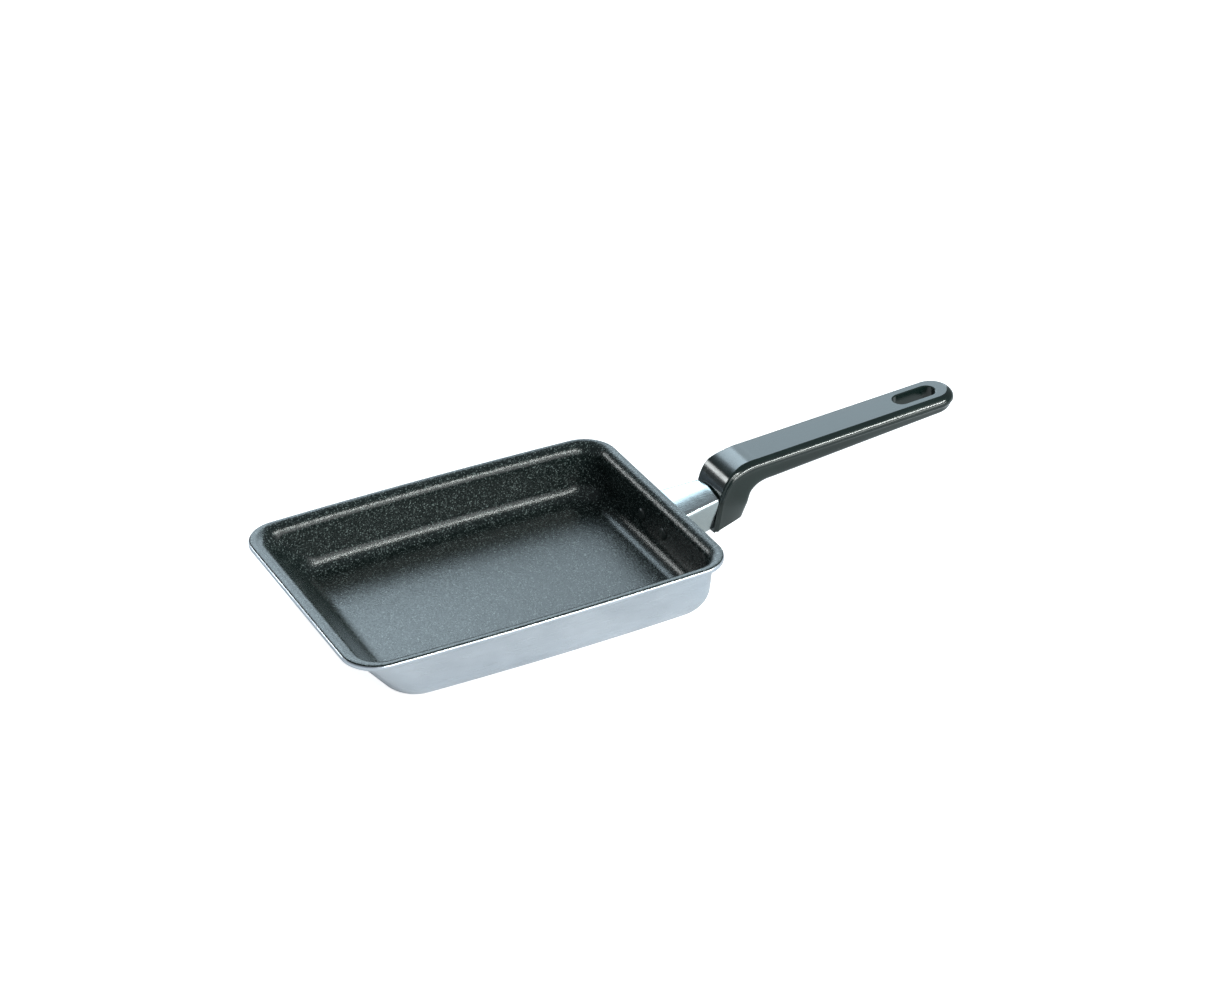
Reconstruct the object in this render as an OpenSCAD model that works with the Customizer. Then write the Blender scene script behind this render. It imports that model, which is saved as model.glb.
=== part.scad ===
// Tamagoyaki pan: a rectangular omelette pan with a riveted bracket, a steel sleeve and a moulded handle.
// Sizes are in millimetres. The origin is the middle of the flat base, +X runs along the handle, +Z is up.

/* [Pan] */
// Length of the rim, in the direction of the handle
rim_length = 195; // [160:1:240]
// Width of the rim
rim_width = 141.3; // [120:0.1:180]
// Height of the rim above the base
pan_height = 30; // [27:0.5:38]
// Thickness of the pressed sheet
sheet = 2.4; // [1.6:0.1:2.8]
// Corner radius of the rim
rim_corner = 17.5; // [15:0.5:26]
// Outward bow of each long side
side_bow = 1.3; // [0:0.1:3]
// Radius over which the lip turns down into the walls
lip_radius = 5.9; // [4.5:0.1:7]
// Level lip outside that radius, on the long sides and at the handle
lip_flat = 1.2; // [1.1:0.1:2.5]
// Level lip outside that radius, on the far side
far_lip_flat = 2.8; // [1.1:0.1:4]
// Lean of the far wall, which the omelette slides out over
far_lean = 38; // [10:1:42]
// Lean of the long walls
side_lean = 1.5; // [0:0.5:6]
// Outside radius between the walls and the base
base_radius = 11; // [7:0.5:12]

/* [Coating] */
// Thickness of the non-stick coating
coat = 0.3; // [0.2:0.05:0.5]
// Bare metal left along the edge of the rim
bare_edge = 0.9; // [0.8:0.1:1]

/* [Joint to the handle] */
// Diameter of the rivet shanks
rivet_dia = 4.2; // [3:0.1:5]
// Distance between the two rivets
rivet_pitch = 21.2; // [19:0.2:22]
// Depth of the rivets below the rim
rivet_drop = 14.4; // [13.6:0.2:15]
// Thickness of the bracket's steel
bracket_sheet = 1.6; // [1.2:0.1:2]
// Length of the sleeve between the pan and the handle
sleeve_length = 28.2; // [22:0.2:45]
// Thickness of the sleeve's steel
sleeve_sheet = 0.8; // [0.5:0.1:0.9]
// Diameter of the handle screw
screw_dia = 5; // [4:0.5:5]

/* [Handle] */
// Length of the handle, from its front face to its tip
handle_length = 139.8; // [120:0.1:180]
// Width of the grip
grip_width = 23.8; // [21:0.2:28]
// Rise of the grip's top face
grip_rise = 3.4; // [1:0.2:6]
// Length of the hanging slot
slot_length = 23.4; // [14:0.2:30]
// Width of the hanging slot
slot_width = 9.2; // [6:0.2:11]

/* [Hidden] */
$fn = 64;

// Pan
half_l = rim_length / 2;
half_w = rim_width / 2;
corner_growth = 7;                              // how much wider the wall corners are at the base
lip_z = pan_height - lip_radius;                // centre of the lip's radius
wall_x = half_l - lip_flat - lip_radius + sheet;  // outside of the handle wall, from the rim's middle
// Middle of the flat base along X, from the rim's middle
base_mid = (half_l - wall_inset(0, lip_flat, 0, 0) - half_l + wall_inset(0, far_lip_flat, far_lean, 0)) / 2;

// Bracket, sleeve and screw
rivet_z = pan_height - rivet_drop;
screw_z = pan_height - 13.6;
plate_z = screw_z - 0.4;                        // middle of the bracket's back plate
plate_width = 27.6;
plate_height = 10;
channel_height = 9;
channel_width = 11.6;
nut_width = 8;
nut_thick = 4;
washer_thick = 1;
spring_thick = 1.3;
head_height = 3.6;
nose_x = wall_x + sleeve_length;                // front face of the handle
spigot = 3;                                     // how far the handle reaches into the sleeve
channel_end = nose_x - spigot;
seat_x = nose_x + 11.2;                         // where the washers sit in the handle
screw_length = 24;
through = 40;                                   // longer than what it cuts
// Bottom, shoulder and crown of the sleeve below the rim, at the pan and at the handle
pan_drops = [22.4, 5.9, 4.1];
nose_drops = [24.3, 3.5, 1.5];

// Handle, measured from its front face and from the rim
heel = 17.5;
neck = 23;
tip_x = nose_x + handle_length;
tip_r = grip_width / 2;
tip_mid = tip_x - tip_r;
slot_x = tip_x - 9.8 - slot_length / 2;

// Moves a piece from the rim's middle to the shared origin
module place() translate([-base_mid, 0, 0]) children();

// Cylinder along X from x, at height z
module along_x(x, y, z, length, d) translate([x, y, z]) rotate([0, 90, 0]) cylinder(h = length, d = d);

function mix(a, b, t) = a + (b - a) * t;
function unit(v) = v / norm(v);

// Rounds the corner b between a and c, starting r before it
function rounded(a, b, c, r, n = 5) = [for (i = [0:n])
    let (t = i / n, p = b + unit(a - b) * r, q = b + unit(c - b) * r)
    mix(mix(p, b, t), mix(b, q, t), t)];

// How far inside the rim's outline a surface of the pan lies at height z.
// off is its distance inside the pan's outer surface: lip arc, straight wall, then base arc.
function wall_inset(z, flat, lean, off) =
    let (r = lip_radius - sheet + off, rb = base_radius - off,
        z_end = lip_z + r * sin(lean),
        d_end = flat + r * cos(lean),
        z_base = base_radius - rb * sin(lean),
        d_base = flat + (lip_radius - sheet) * cos(lean) + base_radius * cos(lean)
            + (lip_z + (lip_radius - sheet) * sin(lean) - base_radius * (1 - sin(lean))) * tan(lean))
    z >= z_end ? flat + sqrt(max(0, r * r - pow(z - lip_z, 2)))
    : z >= z_base ? d_end + (z_end - z) * tan(lean)
    : d_base - sqrt(max(0, rb * rb - pow(base_radius - z, 2)));

// Rounded rectangle with bowed long sides at height z
function outline(x0, x1, y, r, z, bow, n = 8, m = 10) = let (ye = y - bow) concat(
    [for (i = [0:n]) let (a = 180 + 90 * i / n) [x0 + r + r * cos(a), -ye + r + r * sin(a), z]],
    [for (i = [1:m - 1]) let (t = i / m) [mix(x0 + r, x1 - r, t), -ye - 4 * bow * t * (1 - t), z]],
    [for (i = [0:n]) let (a = 270 + 90 * i / n) [x1 - r + r * cos(a), -ye + r + r * sin(a), z]],
    [for (i = [0:n]) let (a = 90 * i / n) [x1 - r + r * cos(a), ye - r + r * sin(a), z]],
    [for (i = [1:m - 1]) let (t = i / m) [mix(x1 - r, x0 + r, t), ye + 4 * bow * t * (1 - t), z]],
    [for (i = [0:n]) let (a = 90 + 90 * i / n) [x0 + r + r * cos(a), ye - r + r * sin(a), z]]);

// Outline of the pan's surface at height z, off inside its outer surface
function wall_ring(z, off) = outline(
    -half_l + wall_inset(z, far_lip_flat, far_lean, off),
    half_l - wall_inset(z, lip_flat, 0, off),
    half_w - wall_inset(z, lip_flat, side_lean, off),
    rim_corner + corner_growth * (1 - z / pan_height) - wall_inset(z, lip_flat, side_lean, off),
    z, side_bow);

// Outline of the rim at height z, inset all round
function rim_ring(z, inset) = outline(-half_l + inset, half_l - inset, half_w - inset, rim_corner - inset,
    z, side_bow);

// Heights at which a surface is drawn, from the base up to the lip
function levels(off) = concat(
    [for (a = [90:-15:0]) base_radius - (base_radius - off) * sin(a)],
    [mix(base_radius, lip_z, 0.5)],
    [for (a = [90:-15:0]) lip_z + (lip_radius - sheet + off) * cos(a)]);

function reversed(list) = [for (i = [len(list) - 1:-1:0]) list[i]];

// Solid between closed rings that all have the same number of points
module skin(rings) {
    n = len(rings[0]);
    count = len(rings);
    points = [for (ring = rings) each ring];
    sides = [for (i = [0:count - 2], j = [0:n - 1])
        let (a = i * n + j, b = i * n + (j + 1) % n)
        each [[a, a + n, b + n], [a, b + n, b]]];
    bottom = [[for (j = [0:n - 1]) j]];
    top = [[for (j = [n - 1:-1:0]) (count - 1) * n + j]];
    polyhedron(points, concat(bottom, sides, top), convexity = 6);
}

// Pan

module pan_body() color("silver") place() difference() {
    skin(concat(
        [for (z = levels(0)) wall_ring(z, 0)],
        [rim_ring(pan_height - sheet, 0.4),
            rim_ring(pan_height - sheet + 0.4, 0),
            rim_ring(pan_height - 0.8, 0),
            rim_ring(pan_height - 0.25, 0.25),
            rim_ring(pan_height, 0.8)],
        [for (z = reversed(levels(sheet))) wall_ring(z, sheet)]));
    for (side = [-1, 1])
        along_x(wall_x - sheet - 1, side * rivet_pitch / 2, rivet_z, sheet + 2, rivet_dia + 0.1);
}

module nonstick_coating() color("dimgray") place() difference() {
    skin(concat(
        [for (z = levels(sheet)) wall_ring(z, sheet)],
        [rim_ring(pan_height, bare_edge),
            rim_ring(pan_height + coat * 0.5, bare_edge + 0.05),
            rim_ring(pan_height + coat, bare_edge + 0.2)],
        [for (z = reversed(levels(sheet + coat))) wall_ring(z, sheet + coat)]));
    for (side = [-1, 1])
        along_x(wall_x - sheet - 2, side * rivet_pitch / 2, rivet_z, 3, rivet_dia + 0.1);
}

// Joint to the handle

// Low round head of height h and width d, its flat side at x = 0 and its dome towards -X
module dome(d, h) rotate([0, -90, 0]) rotate_extrude()
    polygon(concat([[0, 0], [d / 2, 0]], [for (a = [0:15:90]) [d / 2 * cos(a), h * (0.25 + 0.75 * sin(a))]]));

// Rivet with one head on the coating and the other closed on the bracket
module rivet(side) place() translate([0, side * rivet_pitch / 2, rivet_z]) {
    inner = wall_x - sheet - coat;
    outer = wall_x + bracket_sheet;
    along_x(inner, 0, 0, outer - inner, rivet_dia);
    translate([inner, 0, 0]) dome(rivet_dia + 2, 1.2);
    translate([outer, 0, 0]) mirror([1, 0, 0]) dome(rivet_dia + 1.6, 1.6);
}

module rivet_left() color("gainsboro") rivet(1);

module rivet_right() color("gainsboro") rivet(-1);

// Back plate on the pan and a channel that ends in the plate that the screw pulls on
module handle_bracket() color("slategray") place() difference() {
    union() {
        translate([wall_x, -plate_width / 2, plate_z - plate_height / 2])
            cube([bracket_sheet, plate_width, plate_height]);
        for (side = [-1, 1])
            translate([wall_x, side * (channel_width - bracket_sheet) / 2 - bracket_sheet / 2,
                screw_z - channel_height / 2])
                cube([channel_end - wall_x, bracket_sheet, channel_height]);
        translate([channel_end - bracket_sheet, -channel_width / 2, screw_z - channel_height / 2])
            cube([bracket_sheet, channel_width, channel_height]);
    }
    for (side = [-1, 1])
        along_x(wall_x - 1, side * rivet_pitch / 2, rivet_z, bracket_sheet + 2, rivet_dia + 0.1);
    along_x(channel_end - bracket_sheet - 1, 0, screw_z, bracket_sheet + 2, screw_dia + 0.4);
}

module square_nut() color("lightsteelblue") place() difference() {
    translate([channel_end - bracket_sheet - nut_thick, -nut_width / 2, screw_z - nut_width / 2])
        cube([nut_thick, nut_width, nut_width]);
    along_x(channel_end - bracket_sheet - nut_thick - 1, 0, screw_z, nut_thick + 2, screw_dia + 0.1);
}

// Outline of the sleeve at x: a trapezoid with rounded corners and a crowned top.
// wide and narrow are its half widths, z is [bottom, shoulder, crown].
function sleeve_ring(x, wide, narrow, z, inset) =
    let (bottom = [0, z[0] + inset], corner = [narrow - inset, z[0] + inset],
        shoulder = [wide - inset, z[1] - inset * 0.6], crown = [0, z[2] - inset],
        half = concat(rounded(bottom, corner, shoulder, 2.4), rounded(corner, shoulder, crown, 3.4),
            [for (t = [0.25, 0.5, 0.75]) let (p = mix(shoulder + unit(crown - shoulder) * 3.4, crown, t))
                [p[0], p[1] + 0.9 * t * (1 - t)]]))
    concat([[x, 0, bottom[1]]], [for (p = half) [x, p[0], p[1]]], [[x, 0, crown[1]]],
        [for (p = reversed(half)) [x, -p[0], p[1]]]);

function pan_end(x, inset) = sleeve_ring(x, 15.4, 15.2, [for (d = pan_drops) pan_height - d], inset);
function handle_end(x, inset) = sleeve_ring(x, 12, 4.9, [for (d = nose_drops) pan_height - d], inset);

// Tube that hides the bracket, notched where it meets the underside of the lip
module sleeve() color("whitesmoke") place() difference() {
    skin([pan_end(wall_x, 0), handle_end(nose_x, 0)]);
    skin([pan_end(wall_x - 0.01, sleeve_sheet), handle_end(nose_x + 0.01, sleeve_sheet)]);
    translate([wall_x - 1, -through / 2, lip_z]) difference() {
        cube([lip_radius - sheet + 1, through, lip_radius]);
        translate([lip_radius - sheet + 1, -1, 0]) rotate([-90, 0, 0])
            cylinder(h = through + 2, r = lip_radius - sheet - 0.1);
    }
}

module flat_washer() color("lightgray") place() difference() {
    along_x(seat_x, 0, screw_z, washer_thick, screw_dia + 5);
    along_x(seat_x - 1, 0, screw_z, washer_thick + 2, screw_dia + 0.4);
}

module spring_washer() color("darkgray") place() difference() {
    along_x(seat_x + washer_thick, 0, screw_z, spring_thick, screw_dia + 4.2);
    along_x(seat_x, 0, screw_z, spring_thick + 2, screw_dia + 0.3);
    translate([seat_x, -0.5, screw_z]) cube([5, 1, 8]);
}

module handle_screw() color("lightsteelblue") place() difference() {
    union() {
        along_x(seat_x + washer_thick + spring_thick - screw_length, 0, screw_z, screw_length, screw_dia);
        translate([seat_x + washer_thick + spring_thick, 0, screw_z]) mirror([1, 0, 0])
            dome(screw_dia + 4.4, head_height);
    }
    for (turn = [0, 90])
        translate([seat_x + washer_thick + spring_thick + head_height - 1.9, 0, screw_z]) rotate([turn, 0, 0])
            translate([0, -0.5, -2.4]) cube([4, 1, 4.8]);
}

// Handle

// One station of the handle: [top point, bottom point, half width, size of the upper band, turn at the tip].
// Points are [x, z] in the handle's middle plane.
function station(top, bottom, half, band, turn = 0) = [top, bottom, half, band, turn];

function grip_top(x) = [x, pan_height + 11.6 + (x - nose_x - neck) * tan(grip_rise)];
function grip_under(x) = [x, pan_height - 0.9 + (x - nose_x - neck - 8) * tan(grip_rise + 2)];

stations = let (
    face = [for (t = [0, 0.3, 0.6, 0.85, 1])
        station([nose_x, pan_height + mix(-25.2, -1.6, t)],
            [nose_x + heel + 0.3 * t, pan_height + mix(-20.1, -9.5, t)], mix(7.4, 12.7, t), 0.55)],
    bend = [for (i = [0:10]) let (a = mix(31, 90, i / 10))
        station([nose_x + 24 - 24 * cos(a) - (24 - neck) * i / 10, pan_height - 3 + 14.6 * sin(a)],
            [nose_x + neck + 8 - 13.2 * cos(mix(8, 90, i / 10)),
                pan_height - 9.5 + 8.6 * sin(mix(8, 90, i / 10))],
            mix(12.5, tip_r, min(1, i / 6)), mix(0.65, 1, min(1, i / 6)))],
    grip = [for (t = [0.2:0.2:0.8])
        station(grip_top(mix(nose_x + neck, tip_mid, t)), grip_under(mix(nose_x + neck + 8, tip_mid, t)),
            tip_r, 1)],
    tip = [for (a = [0:11:88]) station(grip_top(tip_mid), grip_under(tip_mid), tip_r, 1, a)])
    concat(face, bend, grip, tip);

// One layer of the handle as [depth from the top, depth from the bottom, inset from the widest outline].
// A layer counts from the top where its second number is undef.
layers = [[0, undef, 3.1], [0.35, undef, 2.3], [2.2, undef, 0.35], [2.9, undef, 0], [4.5, undef, 0],
    [4.8, undef, 0.45], [undef, 3.6, 1], [undef, 1.8, 1.5], [undef, 0.5, 2.6], [undef, 0, 4]];

// Points of a layer: along the handle on one side and back on the other
function layer_ring(layer) =
    let (half = [for (s = stations)
        let (deep = norm(s[1] - s[0]), upper = is_undef(layer[1]),
            depth = upper ? layer[0] * s[3] : deep - layer[1],
            inset = upper ? layer[2] * (layer[2] > 1 ? s[3] * s[3] : 1) : layer[2],
            width = (s[2] - inset) * cos(s[4]), p = mix(s[0], s[1], depth / deep),
            x = p[0] + (s[4] > 0 ? (s[2] - inset) * sin(s[4]) : 0),
            z = p[1] + (x - p[0]) * tan(mix(grip_rise, grip_rise + 2, depth / deep)))
        [x, width, z]])
    concat([for (p = half) [p[0], -p[1], p[2]]], [for (p = reversed(half)) p]);

// Body between the layers; its first and last layers are closed by strips across the handle
module layered(rings) {
    n = len(rings[0]);
    count = len(rings);
    last = (count - 1) * n;
    points = [for (ring = rings) each ring];
    sides = [for (i = [0:count - 2], j = [0:n - 1])
        let (a = i * n + j, b = i * n + (j + 1) % n)
        each [[a, b, b + n], [a, b + n, a + n]]];
    first_strip = [for (j = [0:n / 2 - 2]) each [[j, n - 1 - j, n - 2 - j], [j, n - 2 - j, j + 1]]];
    last_strip = [for (f = first_strip) [f[2] + last, f[1] + last, f[0] + last]];
    polyhedron(points, concat(first_strip, sides, last_strip), convexity = 6);
}

// Slot with round ends, standing on the grip
module slot(length, width, height) linear_extrude(height, center = true) {
    square([length - width, width], center = true);
    for (side = [-1, 1])
        translate([side * (length - width) / 2, 0]) circle(d = width);
}

module handle() color("darkslategray") place() difference() {
    union() {
        layered([for (layer = layers) layer_ring(layer)]);
        skin([handle_end(nose_x - spigot, sleeve_sheet + 0.5), handle_end(nose_x + 1, sleeve_sheet + 0.5)]);
    }
    translate([slot_x, 0, grip_top(slot_x)[1]]) rotate([0, -grip_rise, 0]) {
        slot(slot_length, slot_width, through);
        hull() {
            translate([0, 0, 0.5]) slot(slot_length + 2, slot_width + 2, 0.01);
            translate([0, 0, -0.5]) slot(slot_length, slot_width, 0.01);
        }
    }
    along_x(nose_x - spigot - 1, 0, screw_z, 20, screw_dia + 0.4);
    along_x(seat_x, 0, screw_z, 20, screw_dia + 5.4);
}

pan_body();
nonstick_coating();
rivet_left();
rivet_right();
handle_bracket();
square_nut();
sleeve();
handle();
flat_washer();
spring_washer();
handle_screw();
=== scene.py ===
import math

import bmesh
import bpy
from mathutils import Matrix, Vector


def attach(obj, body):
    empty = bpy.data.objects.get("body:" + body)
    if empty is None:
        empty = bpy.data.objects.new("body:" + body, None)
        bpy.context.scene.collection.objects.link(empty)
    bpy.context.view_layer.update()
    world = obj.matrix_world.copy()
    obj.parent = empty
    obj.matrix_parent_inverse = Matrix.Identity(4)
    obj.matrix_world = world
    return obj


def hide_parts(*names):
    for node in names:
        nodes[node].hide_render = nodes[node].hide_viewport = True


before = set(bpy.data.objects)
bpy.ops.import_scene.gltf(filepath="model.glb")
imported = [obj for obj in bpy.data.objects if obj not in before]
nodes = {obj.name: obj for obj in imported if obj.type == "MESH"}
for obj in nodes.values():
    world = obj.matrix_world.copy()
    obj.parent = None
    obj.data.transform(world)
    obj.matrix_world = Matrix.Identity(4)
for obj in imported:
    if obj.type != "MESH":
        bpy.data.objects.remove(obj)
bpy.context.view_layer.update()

# Camera
# It stands at the photograph's viewing angle, to the front left and about 31 degrees above.
# Place, turn and lens come from fitting the rim's outline.
camera_data = bpy.data.cameras.new("camera")
camera_data.sensor_fit = "HORIZONTAL"
camera_data.sensor_width = 36
camera_data.lens = 91.79
camera = bpy.data.objects.new("camera", camera_data)
bpy.context.scene.collection.objects.link(camera)
camera.matrix_world = (
    Matrix.Translation((-0.54157, -1.12962, 0.80997))
    @ Matrix.Rotation(math.radians(-28.03), 4, "Z")
    @ Matrix.Rotation(math.radians(90 - 31.09), 4, "X")
    @ Matrix.Rotation(math.radians(-0.38), 4, "Z")
)
bpy.context.scene.camera = camera
bpy.context.scene.view_settings.view_transform = "Standard"


# Floor and surroundings
# A wide white floor under an even pale sky. Both look white to the camera, and the floor still
# takes the object's soft shadow and gives its light back to the metal.
def add(tree, kind, values=None, **settings):
    """A shader node with its settings and inputs; an input that is a socket is linked."""
    made = tree.nodes.new(kind)
    for name, value in settings.items():
        setattr(made, name, value)
    for name, value in (values or {}).items():
        if isinstance(value, bpy.types.NodeSocket):
            tree.links.new(value, made.inputs[name])
        else:
            made.inputs[name].default_value = value
    return made


floor_mesh = bpy.data.meshes.new("floor")
floor_mesh.from_pydata([(-9, -9, -0.0001), (9, -9, -0.0001), (9, 9, -0.0001), (-9, 9, -0.0001)], [], [(0, 1, 2, 3)])
floor = bpy.data.objects.new("floor", floor_mesh)
bpy.context.scene.collection.objects.link(floor)
floor_look = bpy.data.materials.new("floor")
floor_look.use_nodes = True
tree = floor_look.node_tree
tree.nodes.clear()
seen = add(tree, "ShaderNodeLightPath")
paint = add(tree, "ShaderNodeBsdfDiffuse", {"Color": (0.66, 0.66, 0.667, 1)})
shine = add(tree, "ShaderNodeEmission", {"Color": (1, 1, 1, 1), "Strength": 0.8})
both = add(tree, "ShaderNodeAddShader")
tree.links.new(paint.outputs[0], both.inputs[0])
tree.links.new(shine.outputs[0], both.inputs[1])
choose = add(tree, "ShaderNodeMixShader", {0: seen.outputs["Is Camera Ray"], 1: paint.outputs[0], 2: both.outputs[0]})
add(tree, "ShaderNodeOutputMaterial", {"Surface": choose.outputs[0]})
floor_mesh.materials.append(floor_look)

world = bpy.data.worlds.new("world")
bpy.context.scene.world = world
world.use_nodes = True
tree = world.node_tree
tree.nodes.clear()
seen = add(tree, "ShaderNodeLightPath")
dim = add(tree, "ShaderNodeBackground", {"Color": (0.86, 0.93, 1.0, 1), "Strength": 0.34})
white = add(tree, "ShaderNodeBackground", {"Color": (1, 1, 1, 1), "Strength": 1.0})
choose = add(tree, "ShaderNodeMixShader", {0: seen.outputs["Is Camera Ray"], 1: dim.outputs[0], 2: white.outputs[0]})
add(tree, "ShaderNodeOutputWorld", {"Surface": choose.outputs[0]})


# Lamps
# A wide soft panel behind, which the flat tops mirror, a narrow one above the front that draws the
# bright lines along the folds, one at the back left for the folds at the handle, and a low strip in
# front for the handle's band.
def lamp(name, place, aim, size, radiance, colour):
    data = bpy.data.lights.new(name, "AREA")
    data.shape = "RECTANGLE"
    data.size, data.size_y = size
    data.energy = radiance * math.pi * size[0] * size[1]
    data.color = colour
    made = bpy.data.objects.new(name, data)
    bpy.context.scene.collection.objects.link(made)
    made.location = place
    made.rotation_euler = (Vector(place) - Vector(aim)).to_track_quat("Z", "Y").to_euler()
    made.visible_camera = False


lamp("back_panel", (0.62, 1.22, 0.68), (0.03, 0, 0.03), (1.47, 1.08), 3.5, (0.71, 0.89, 1.0))
lamp("back_glow", (0.28, 1.22, 1.05), (0.1, 0, 0.03), (0.55, 0.5), 5.0, (0.71, 0.89, 1.0))
lamp("front_above", (0.55, -1.08, 0.88), (0, 0, 0.03), (1.5, 0.07), 85, (0.95, 1.0, 0.97))
lamp("back_left", (-0.88, 1.15, 0.52), (0, 0, 0.03), (0.26, 0.42), 15, (0.95, 1.0, 1.0))
lamp("front_strip", (0.62, -1.38, 0.42), (0.05, 0, 0.03), (1.8, 0.4), 5, (0.97, 1.0, 1.0))


# Pan body
# Pressed aluminium, bare and brushed outside: flat base, rounded foot, long walls almost upright,
# a far wall that leans out, and a level lip turned outward all round.
HALF_LENGTH, HALF_WIDTH, HEIGHT, SHEET = 97.5, 70.65, 30.0, 2.4
RIM_CORNER, BOW, LIP_RADIUS, FOOT_RADIUS = 17.5, 1.3, 5.9, 11.0
FLAT, FAR_FLAT, FAR_LEAN, SIDE_LEAN = 1.2, 2.8, 38, 1.5
MIDDLE = 7.8678
LIP_Z = HEIGHT - LIP_RADIUS


def wall_inset(z, flat, lean, off):
    """How far inside the rim's outline the pan's surface lies at height z, off inside its outer face."""
    s, c = math.sin(math.radians(lean)), math.cos(math.radians(lean))
    r, foot = LIP_RADIUS - SHEET + off, FOOT_RADIUS - off
    z_end = LIP_Z + r * s
    z_base = FOOT_RADIUS - foot * s
    if z >= z_end:
        return flat + math.sqrt(max(0, r * r - (z - LIP_Z) ** 2))
    if z >= z_base:
        return flat + r * c + (z_end - z) * s / c
    reach = LIP_Z + (LIP_RADIUS - SHEET) * s - FOOT_RADIUS * (1 - s)
    return flat + (LIP_RADIUS - SHEET + FOOT_RADIUS) * c + reach * s / c - math.sqrt(
        max(0, foot * foot - (FOOT_RADIUS - z) ** 2))


def outline(x0, x1, y, r, z, corner=14, side=30):
    """Rounded rectangle with bowed long sides, in metres, anticlockwise from above."""
    ye = y - BOW
    half = []
    for i in range(corner + 1):
        a = math.radians(180 + 90 * i / corner)
        half.append((x0 + r + r * math.cos(a), -ye + r + r * math.sin(a)))
    for i in range(1, side):
        t = i / side
        half.append((x0 + r + (x1 - x0 - 2 * r) * t, -ye - 4 * BOW * t * (1 - t)))
    for i in range(corner + 1):
        a = math.radians(270 + 90 * i / corner)
        half.append((x1 - r + r * math.cos(a), -ye + r + r * math.sin(a)))
    ring = half + [(x, -y) for x, y in reversed(half)]
    return [Vector(((x - MIDDLE) * 0.001, y * 0.001, z * 0.001)) for x, y in ring]


def wall_ring(z, off, more=0.0):
    side = wall_inset(z, FLAT, SIDE_LEAN, off)
    return outline(
        -HALF_LENGTH + wall_inset(z, FAR_FLAT, FAR_LEAN, off) + more,
        HALF_LENGTH - wall_inset(z, FLAT, 0, off) - more,
        HALF_WIDTH - side - more,
        RIM_CORNER + 7 * (1 - z / HEIGHT) - side - more, z)


def rim_ring(z, inset):
    return outline(-HALF_LENGTH + inset, HALF_LENGTH - inset, HALF_WIDTH - inset, RIM_CORNER - inset, z)


def wall_rings(off):
    """Rings of one face of the sheet, from the flat of the base to the top of the lip."""
    steps = [math.radians(a) for a in range(90, -1, -6)]
    foot = [FOOT_RADIUS - (FOOT_RADIUS - off) * math.sin(a) for a in steps]
    lip = [LIP_Z + (LIP_RADIUS - SHEET + off) * math.cos(a) for a in reversed([math.pi / 2 - b for b in steps])]
    wall = [FOOT_RADIUS + (LIP_Z - FOOT_RADIUS) * t for t in (0.33, 0.67)]
    low = wall_ring(foot[0], off, 4)
    return [low, wall_ring(foot[0], off, 1.2)] + [wall_ring(z, off) for z in foot + wall + sorted(lip)]


def skin(name, rings, caps=True):
    """Smooth surface through closed rings, with a map in metres: u round the ring, v from ring to ring."""
    n = len(rings[0])
    body = bmesh.new()
    rows = [[body.verts.new(p) for p in ring] for ring in rings]
    layer = body.loops.layers.uv.new("UVMap")
    middle = rings[len(rings) // 2]
    u, v = [0.0], [0.0]
    for j in range(n):
        u.append(u[-1] + (middle[(j + 1) % n] - middle[j]).length)
    for i in range(len(rings) - 1):
        v.append(v[-1] + (rings[i + 1][0] - rings[i][0]).length)
    v.append(v[-1])
    for i in range(len(rings) - (1 if caps else 0)):
        k = (i + 1) % len(rings)
        for j in range(n):
            m = (j + 1) % n
            face = body.faces.new((rows[i][j], rows[i][m], rows[k][m], rows[k][j]))
            face.smooth = True
            for loop, spot in zip(face.loops, ((u[j], v[i]), (u[j + 1], v[i]), (u[j + 1], v[i + 1]), (u[j], v[i + 1]))):
                loop[layer].uv = spot
    if caps:
        for ring in (list(reversed(rows[0])), rows[-1]):
            face = body.faces.new(ring)
            face.smooth = True
            for loop in face.loops:
                loop[layer].uv = (loop.vert.co.x, loop.vert.co.y)
    mesh = bpy.data.meshes.new(name)
    body.to_mesh(mesh)
    body.free()
    made = bpy.data.objects.new(name, mesh)
    bpy.context.scene.collection.objects.link(made)
    return made


def look(name, metallic, roughness):
    """A new material with its node tree and main shader."""
    made = bpy.data.materials.new(name)
    made.use_nodes = True
    shader = made.node_tree.nodes["Principled BSDF"]
    shader.inputs["Metallic"].default_value = metallic
    shader.inputs["Roughness"].default_value = roughness
    return made, made.node_tree, shader


def spread(tree, value, low, high, start=0.0, end=1.0):
    """The value's range from start to end, spread from low to high."""
    return add(tree, "ShaderNodeMapRange", {
        "Value": value, "From Min": start, "From Max": end, "To Min": low, "To Max": high}).outputs[0]


def ramp(tree, value, stops):
    """Colours blended along a value; stops are (place, colour)."""
    made = add(tree, "ShaderNodeValToRGB", {"Fac": value})
    bar = made.color_ramp.elements
    while len(bar) < len(stops):
        bar.new(0.5)
    for element, (place, colour) in zip(bar, stops):
        element.position = place
        element.color = (*colour, 1)
    return made.outputs["Color"]


def stretched(tree, source, scale, detail=3.0):
    """Noise whose grain is drawn out, by one scale for each direction of its coordinates."""
    coords = add(tree, "ShaderNodeTexCoord").outputs[source]
    laid = add(tree, "ShaderNodeMapping", {"Vector": coords, "Scale": scale})
    return add(tree, "ShaderNodeTexNoise", {"Vector": laid.outputs[0], "Scale": 1.0, "Detail": detail}).outputs[0]


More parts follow.
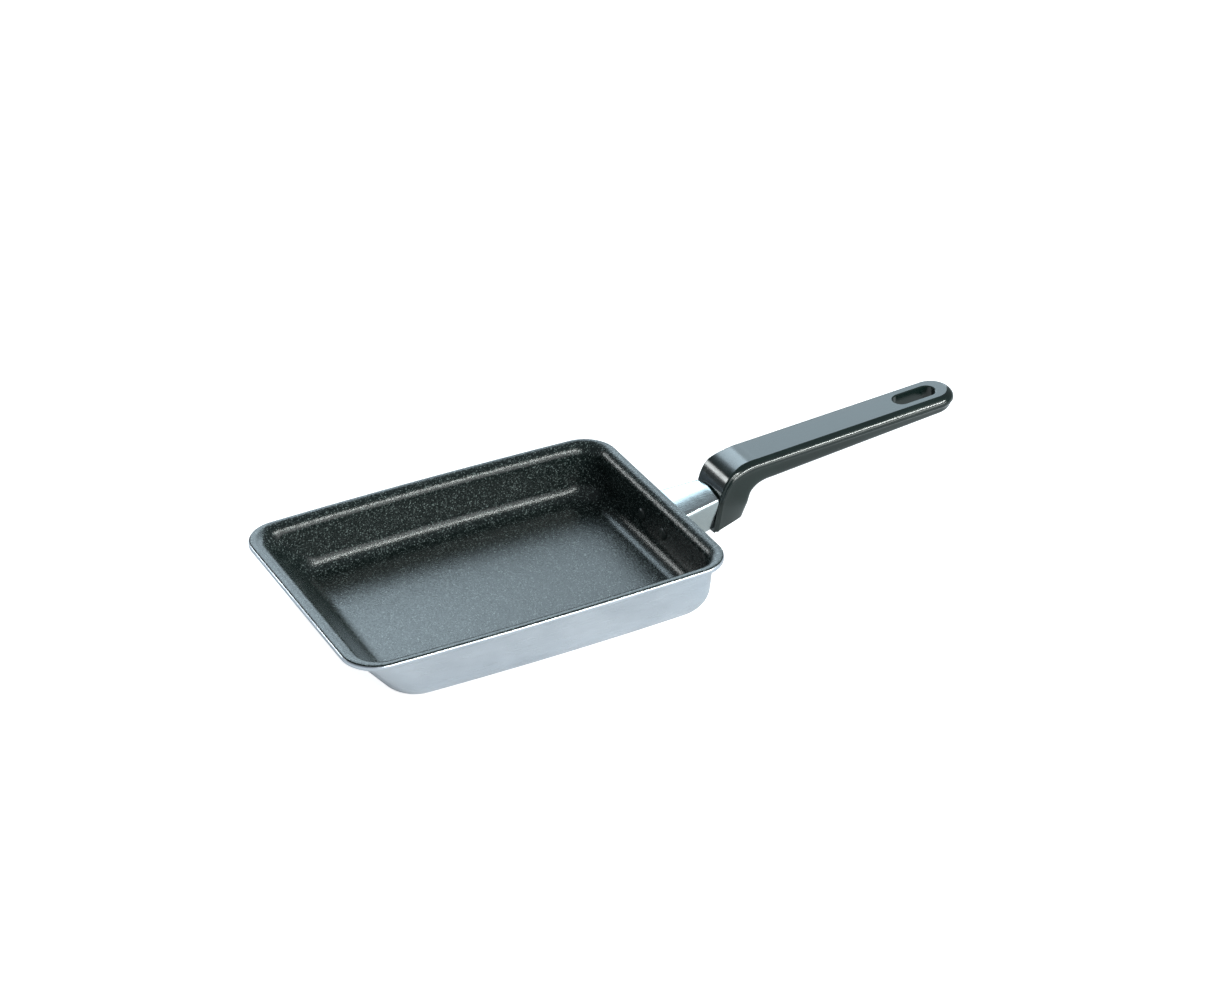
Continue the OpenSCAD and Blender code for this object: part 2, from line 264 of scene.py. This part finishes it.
pan = skin("pan_body_skin", wall_rings(0) + [
    rim_ring(27.6, 1.0), rim_ring(27.6, 0.45), rim_ring(27.68, 0.14), rim_ring(27.9, 0), rim_ring(28.5, 0),
    rim_ring(29.2, 0), rim_ring(29.55, 0.06), rim_ring(29.82, 0.25), rim_ring(29.96, 0.5), rim_ring(30, 0.8),
    rim_ring(30, 1.1)] + list(reversed(wall_rings(SHEET))))
pan_look, tree, shader = look("pan_metal", 1.0, 0.32)
grain = stretched(tree, "UV", (40, 5200, 1), 4)
cloud = stretched(tree, "Object", (38, 38, 60), 2)
shader.inputs["Base Color"].default_value = (0.66, 0.67, 0.71, 1)
tree.links.new(ramp(tree, cloud, ((0.3, (0.50, 0.545, 0.60)), (0.7, (0.61, 0.655, 0.71)))), shader.inputs["Base Color"])
tree.links.new(spread(tree, grain, 0.24, 0.42, 0.3, 0.7), shader.inputs["Roughness"])
bump = add(tree, "ShaderNodeBump", {"Height": grain, "Strength": 0.14, "Distance": 0.0002})
tree.links.new(bump.outputs[0], shader.inputs["Normal"])
pan.data.materials.append(pan_look)
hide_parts("pan_body")
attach(pan, "root")


# Non-stick coating
# Black inside the pan up to a narrow bare edge, with a fine orange peel that breaks up the bright
# lines and small pale flecks in it.
COAT = 0.3
coating = skin("coating_skin", wall_rings(SHEET) + [
    rim_ring(30, 0.9), rim_ring(29.88, 0.34), rim_ring(29.98, 0.33), rim_ring(30.12, 0.5), rim_ring(30.24, 0.8),
    rim_ring(30.3, 1.15)]
    + list(reversed(wall_rings(SHEET + COAT))))
coat_look, tree, shader = look("coating", 0.0, 0.42)
coords = add(tree, "ShaderNodeTexCoord").outputs["Object"]
peel = add(tree, "ShaderNodeTexNoise", {"Vector": coords, "Scale": 1250, "Detail": 3}).outputs[0]
cell = add(tree, "ShaderNodeTexVoronoi", {"Vector": coords, "Scale": 1900}).outputs["Color"]
tree.links.new(ramp(tree, cell, (
    (0.0, (0.002, 0.005, 0.0045)), (0.58, (0.004, 0.008, 0.0075)), (0.74, (0.018, 0.025, 0.024)), (0.9, (0.10, 0.125, 0.12)))),
    shader.inputs["Base Color"])
tree.links.new(spread(tree, peel, 0.15, 0.30, 0.3, 0.7), shader.inputs["Roughness"])
shader.inputs["Specular IOR Level"].default_value = 0.32
bump = add(tree, "ShaderNodeBump", {"Height": peel, "Strength": 0.4, "Distance": 0.0003})
tree.links.new(bump.outputs[0], shader.inputs["Normal"])
coating.data.materials.append(coat_look)
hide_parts("nonstick_coating")
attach(coating, "root")


# Rivets
# The heads inside the pan are coated black with it, and the rest is bare aluminium.
rivet_look, tree, shader = look("rivet", 0.0, 0.3)
coords = add(tree, "ShaderNodeTexCoord").outputs["Object"]
along = add(tree, "ShaderNodeSeparateXYZ", {"Vector": coords}).outputs["X"]
bare = spread(tree, along, 0, 1, 0.0822, 0.0823)
tree.links.new(ramp(tree, bare, ((0.4, (0.012, 0.018, 0.017)), (0.6, (0.66, 0.67, 0.70)))), shader.inputs["Base Color"])
tree.links.new(bare, shader.inputs["Metallic"])
peel = add(tree, "ShaderNodeTexNoise", {"Vector": coords, "Scale": 1100, "Detail": 2}).outputs[0]
tree.links.new(spread(tree, peel, 0.24, 0.4, 0.3, 0.7), shader.inputs["Roughness"])
bump = add(tree, "ShaderNodeBump", {"Height": peel, "Strength": 0.3, "Distance": 0.0002})
tree.links.new(bump.outputs[0], shader.inputs["Normal"])
for name in ("rivet_left", "rivet_right"):
    nodes[name].data.materials.clear()
    nodes[name].data.materials.append(rivet_look)


# Bracket, nut, washers and screw
# Zinc-plated steel with a dull grain. Only the screw's head shows, deep in the handle's heel.
steel_look, tree, shader = look("fastener_steel", 1.0, 0.35)
grain = stretched(tree, "Object", (900, 300, 900), 3)
tree.links.new(ramp(tree, grain, ((0.3, (0.50, 0.51, 0.52)), (0.7, (0.66, 0.67, 0.68)))), shader.inputs["Base Color"])
tree.links.new(spread(tree, grain, 0.26, 0.46, 0.3, 0.7), shader.inputs["Roughness"])
bump = add(tree, "ShaderNodeBump", {"Height": grain, "Strength": 0.15, "Distance": 0.0002})
tree.links.new(bump.outputs[0], shader.inputs["Normal"])
for name in ("handle_bracket", "square_nut", "flat_washer", "spring_washer", "handle_screw"):
    nodes[name].data.materials.clear()
    nodes[name].data.materials.append(steel_look)


# Sleeve
# Polished stainless tube from the pan to the handle, a trapezoid in section with a crowned top,
# notched to sit under the lip, with a thin rolled edge at the handle.
WALL_X, NOSE_X, TUBE = 92.8, 121.0, 0.8


def rounded(a, b, c, r, n=9):
    """The corner b between a and c, cut r before and after it by a curve."""
    p, q = b + (a - b).normalized() * r, b + (c - b).normalized() * r
    return [p.lerp(b, i / n).lerp(b.lerp(q, i / n), i / n) for i in range(n + 1)]


def sleeve_ring(x, wide, narrow, low, shoulder, crown, inset, lip=False):
    """Closed outline at x, in metres; with lip, its upper points stand off the pan's turned lip."""
    a, b = Vector((0, low + inset)), Vector((narrow - inset, low + inset))
    c, d = Vector((wide - inset, shoulder - inset * 0.6)), Vector((0, crown - inset))
    half = rounded(a, b, c, 2.4) + rounded(b, c, d, 3.4)
    side = c + (d - c).normalized() * 3.4
    for i in range(1, 8):
        t = i / 8
        half.append(side.lerp(d, t) + Vector((0, 0.9 * t * (1 - t))))
    points = [a] + half + [d] + [Vector((-p.x, p.y)) for p in reversed(half)]
    radius = LIP_RADIUS - SHEET - 0.1
    ring = []
    for p in points:
        off = 0.0
        if lip and p.y > LIP_Z:
            off = radius + 0.1 - math.sqrt(max(0, radius ** 2 - (p.y - LIP_Z) ** 2))
        ring.append(Vector(((x + off - MIDDLE) * 0.001, p.x * 0.001, p.y * 0.001)))
    return ring


def sleeve_at(t, inset, lip=False):
    mix = lambda a, b: a + (b - a) * t
    return sleeve_ring(mix(WALL_X, NOSE_X), mix(15.4, 12), mix(15.2, 4.9), mix(HEIGHT - 22.4, HEIGHT - 24.3),
        mix(HEIGHT - 5.9, HEIGHT - 3.5), mix(HEIGHT - 4.1, HEIGHT - 1.5), inset, lip)


sleeve_rings = [sleeve_at(0, 0, True)] + [sleeve_at(t, 0, t < 0.13) for t in (0.12, 0.3, 0.5, 0.7, 0.9, 0.98)]
sleeve_rings += [sleeve_at(1, 0.1), sleeve_at(1, TUBE - 0.1)] + [sleeve_at(t, TUBE) for t in (0.98, 0.5)]
sleeve_rings += [sleeve_at(0.02, TUBE, True)]
sleeve = skin("sleeve_skin", sleeve_rings, caps=False)
sleeve_look, tree, shader = look("sleeve_steel", 1.0, 0.14)
grain = stretched(tree, "Object", (60, 2600, 2600), 3)
tree.links.new(ramp(tree, grain, ((0.3, (0.37, 0.42, 0.43)), (0.7, (0.44, 0.49, 0.50)))), shader.inputs["Base Color"])
tree.links.new(spread(tree, grain, 0.16, 0.26, 0.3, 0.7), shader.inputs["Roughness"])
bump = add(tree, "ShaderNodeBump", {"Height": grain, "Strength": 0.05, "Distance": 0.0001})
tree.links.new(bump.outputs[0], shader.inputs["Normal"])
sleeve.data.materials.append(sleeve_look)
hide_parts("sleeve")
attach(sleeve, "root")


# Handle
# Gloss black moulding: a nose that drops to the sleeve, a bend, and a flat-topped grip with a
# rounded upper band, a parting step below it and a hanging slot through its round tip.
LENGTH, HALF_GRIP, RISE = 139.8, 11.9, 3.4
HEEL, NECK, SCREW_Z = 17.5, 23.0, 16.4
TIP_X = NOSE_X + LENGTH
TIP_MID = TIP_X - HALF_GRIP
SLOT_X = TIP_X - 9.8 - 11.7


def rise(angle):
    return math.tan(math.radians(angle))


def grip_top(x):
    return Vector((x, HEIGHT + 11.6 + (x - NOSE_X - NECK) * rise(RISE)))


def grip_under(x):
    return Vector((x, HEIGHT - 0.9 + (x - NOSE_X - NECK - 8) * rise(RISE + 2)))


def stations():
    """Cross-sections from the nose to the tip: top, bottom, half width, size of the band, turn at the tip."""
    found = []
    for i in range(11):
        t = i / 10
        found.append((Vector((NOSE_X, HEIGHT - 25.2 + 23.6 * t)),
            Vector((NOSE_X + HEEL + 0.3 * t, HEIGHT - 20.1 + 10.6 * t)), 7.4 + 5.3 * t, 0.55, 0))
    for i in range(1, 25):
        t = i / 24
        a, b = math.radians(31 + 59 * t), math.radians(8 + 82 * t)
        grow = min(1, t / 0.6)
        found.append((Vector((NOSE_X + 24 - 24 * math.cos(a) - t, HEIGHT - 3 + 14.6 * math.sin(a))),
            Vector((NOSE_X + NECK + 8 - 13.2 * math.cos(b), HEIGHT - 9.5 + 8.6 * math.sin(b))),
            12.5 + (HALF_GRIP - 12.5) * grow, 0.65 + 0.35 * grow, 0))
    for i in range(1, 12):
        t = i / 12
        found.append((grip_top(NOSE_X + NECK + (TIP_MID - NOSE_X - NECK) * t),
            grip_under(NOSE_X + NECK + 8 + (TIP_MID - NOSE_X - NECK - 8) * t), HALF_GRIP, 1, 0))
    for i in range(0, 19):
        found.append((grip_top(TIP_MID), grip_under(TIP_MID), HALF_GRIP, 1, math.radians(4.9 * i)))
    for _ in range(4):
        for i in range(8, 15):
            a, b, c = found[i - 1:i + 2]
            found[i] = ((a[0] + 2 * b[0] + c[0]) / 4, (a[1] + 2 * b[1] + c[1]) / 4,
                (a[2] + 2 * b[2] + c[2]) / 4, (a[3] + 2 * b[3] + c[3]) / 4, 0)
    return found


# Depth from the top or from the bottom, and inset from the widest outline
LAYERS = ((0, None, 3.7), (0.3, None, 2.8), (0.9, None, 1.85), (1.7, None, 1.0),
    (2.5, None, 0.42), (3.3, None, 0.1), (3.9, None, 0), (4.5, None, 0),
    (4.8, None, 0.45), (None, 3.6, 1), (None, 1.8, 1.5), (None, 0.5, 2.6), (None, 0, 4))


def section(deep, band):
    """Side profile as (depth, inset), its corners cut twice so that it shades smoothly."""
    line = []
    for top, bottom, inset in LAYERS:
        if bottom is None:
            line.append((top * band, inset * (band * band if inset > 1 else 1)))
        else:
            line.append((deep - bottom, inset))
    for _ in range(2):
        cut = [line[0]]
        for (a, b), (c, d) in zip(line, line[1:]):
            cut += [(a * 0.75 + c * 0.25, b * 0.75 + d * 0.25), (a * 0.25 + c * 0.75, b * 0.25 + d * 0.75)]
        line = cut + [line[-1]]
    return line


def handle_mesh():
    body = bmesh.new()
    columns = []
    for top, bottom, half, band, turn in stations():
        deep = (bottom - top).length
        column = []
        for depth, inset in section(deep, band):
            p = top.lerp(bottom, depth / deep)
            x = p.x + (half - inset) * math.sin(turn)
            z = p.y + (x - p.x) * rise(RISE + 2 * depth / deep)
            y = (half - inset) * math.cos(turn)
            column.append([body.verts.new(((x - MIDDLE) * 0.001, side * y * 0.001, z * 0.001)) for side in (-1, 1)])
        columns.append(column)
    last = len(columns[0]) - 1
    faces = []
    for left, right in zip(columns, columns[1:]):
        for k in range(last):
            faces.append((left[k][0], left[k + 1][0], right[k + 1][0], right[k][0]))
            faces.append((left[k][1], right[k][1], right[k + 1][1], left[k + 1][1]))
        faces.append((left[0][0], right[0][0], right[0][1], left[0][1]))
        faces.append((left[last][1], right[last][1], right[last][0], left[last][0]))
    for k in range(last):
        faces.append((columns[0][k][1], columns[0][k + 1][1], columns[0][k + 1][0], columns[0][k][0]))
        faces.append((columns[-1][k][0], columns[-1][k + 1][0], columns[-1][k + 1][1], columns[-1][k][1]))
    for face in faces:
        body.faces.new(face)
    bmesh.ops.recalc_face_normals(body, faces=body.faces)
    mesh = bpy.data.meshes.new("handle_skin")
    body.to_mesh(mesh)
    body.free()
    return mesh


def prism(name, outlines):
    """Closed solid through outlines that all have the same number of points."""
    made = skin(name, outlines)
    body = bmesh.new()
    body.from_mesh(made.data)
    bmesh.ops.recalc_face_normals(body, faces=body.faces)
    body.to_mesh(made.data)
    body.free()
    return made


def slot_outline(grow, height):
    """Outline of the hanging slot, height above the grip's top and square to it."""
    lean = math.radians(-RISE)
    ring = []
    for i in range(48):
        a = 2 * math.pi * (i + 0.5) / 48
        x = (7.1 if math.cos(a) > 0 else -7.1) + (4.6 + grow) * math.cos(a)
        y = (4.6 + grow) * math.sin(a)
        top = grip_top(SLOT_X)
        ring.append(Vector(((top.x + x * math.cos(lean) + height * math.sin(lean) - MIDDLE) * 0.001, y * 0.001,
            (top.y - x * math.sin(lean) + height * math.cos(lean)) * 0.001)))
    return ring


def round_outline(x, radius):
    return [Vector(((x - MIDDLE) * 0.001, radius * 0.001 * math.cos(i * math.pi / 24),
        (SCREW_Z + radius * math.sin(i * math.pi / 24)) * 0.001)) for i in range(48)]


handle = bpy.data.objects.new("handle_skin", handle_mesh())
bpy.context.scene.collection.objects.link(handle)
steps = (
    ("UNION", prism("spigot", [sleeve_ring(NOSE_X + x, 12, 4.9, HEIGHT - 24.3, HEIGHT - 3.5, HEIGHT - 1.5, 1.3)
        for x in (-3, 1)])),
    ("DIFFERENCE", prism("slot", [slot_outline(0, -20), slot_outline(0, -0.45), slot_outline(0.18, -0.3),
        slot_outline(0.6, -0.04), slot_outline(1.6, 0.5)])),
    ("DIFFERENCE", prism("bore", [round_outline(NOSE_X + x, 2.7) for x in (-4, 16)])),
    ("DIFFERENCE", prism("seat", [round_outline(NOSE_X + 11.2 + x, 5.2) for x in (0, 20)])),
)
for kind, cutter in steps:
    change = handle.modifiers.new(cutter.name, "BOOLEAN")
    change.operation = kind
    change.object = cutter
    change.solver = "EXACT"
bpy.context.view_layer.update()
shaped = bpy.data.meshes.new_from_object(handle.evaluated_get(bpy.context.evaluated_depsgraph_get()))
handle.modifiers.clear()
handle.data = shaped
for kind, cutter in steps:
    bpy.data.objects.remove(cutter)
for face in shaped.polygons:
    face.use_smooth = True
shaped.set_sharp_from_angle(angle=math.radians(34))
even = handle.modifiers.new("even_shading", "WEIGHTED_NORMAL")
even.keep_sharp = True
shaped.materials.clear()
handle_look, tree, shader = look("handle_plastic", 0.0, 0.12)
coords = add(tree, "ShaderNodeTexCoord").outputs["Object"]
cloud = add(tree, "ShaderNodeTexNoise", {"Vector": coords, "Scale": 60, "Detail": 3}).outputs[0]
fine = add(tree, "ShaderNodeTexNoise", {"Vector": coords, "Scale": 700, "Detail": 2}).outputs[0]
tree.links.new(ramp(tree, cloud, ((0.3, (0.002, 0.007, 0.006)), (0.7, (0.004, 0.011, 0.0095)))), shader.inputs["Base Color"])
tree.links.new(spread(tree, cloud, 0.14, 0.22, 0.3, 0.7), shader.inputs["Roughness"])
bump = add(tree, "ShaderNodeBump", {"Height": fine, "Strength": 0.05, "Distance": 0.0001})
tree.links.new(bump.outputs[0], shader.inputs["Normal"])
shaped.materials.append(handle_look)
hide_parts("handle")
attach(handle, "root")
